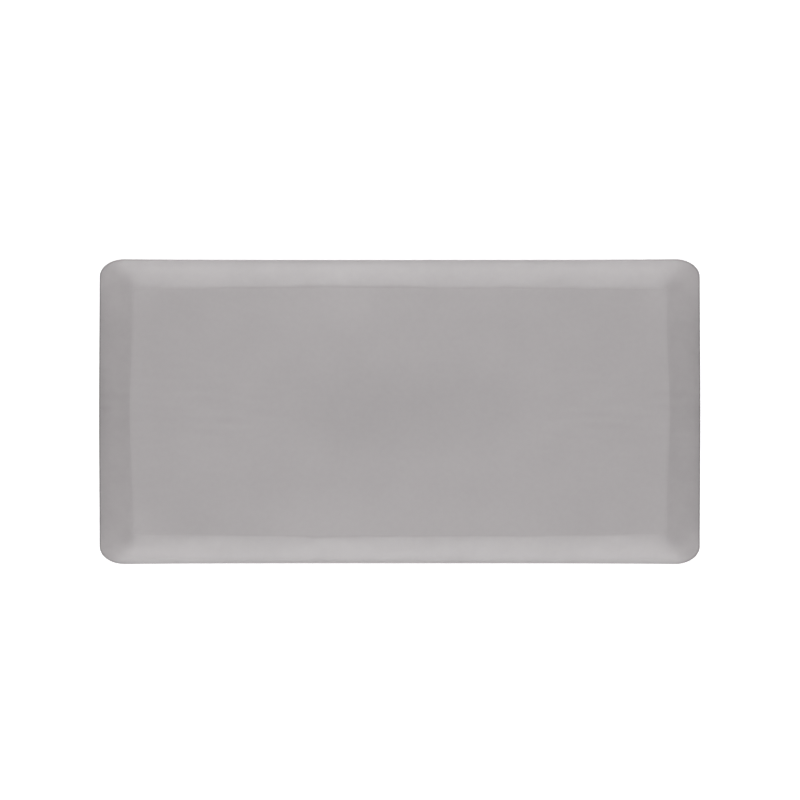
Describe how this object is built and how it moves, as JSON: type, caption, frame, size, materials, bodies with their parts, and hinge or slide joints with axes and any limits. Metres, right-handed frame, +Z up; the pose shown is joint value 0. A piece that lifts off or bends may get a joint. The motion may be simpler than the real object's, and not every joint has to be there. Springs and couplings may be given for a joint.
{
  "type": "anti fatigue mat",
  "caption": "Rectangular standing mat with a flat cushioned face, sloping borders on all sides, rounded corners and a non-slip base.",
  "frame": {"origin": "centre of the underside, on the floor", "axes": "+X along the length, +Y along the width, +Z up through the thickness"},
  "size_m": [0.99, 0.502, 0.019],
  "materials": {
    "cover": "satin",
    "soft_foam": "matte",
    "firm_foam": "matte",
    "base": "matte",
    "bead": "satin"
  },
  "bodies": {
    "root": {"top_cover": "cover", "comfort_foam": "soft_foam", "support_foam": "firm_foam", "base_sheet": "base", "weld_bead": "bead"}
  },
  "joints": []
}
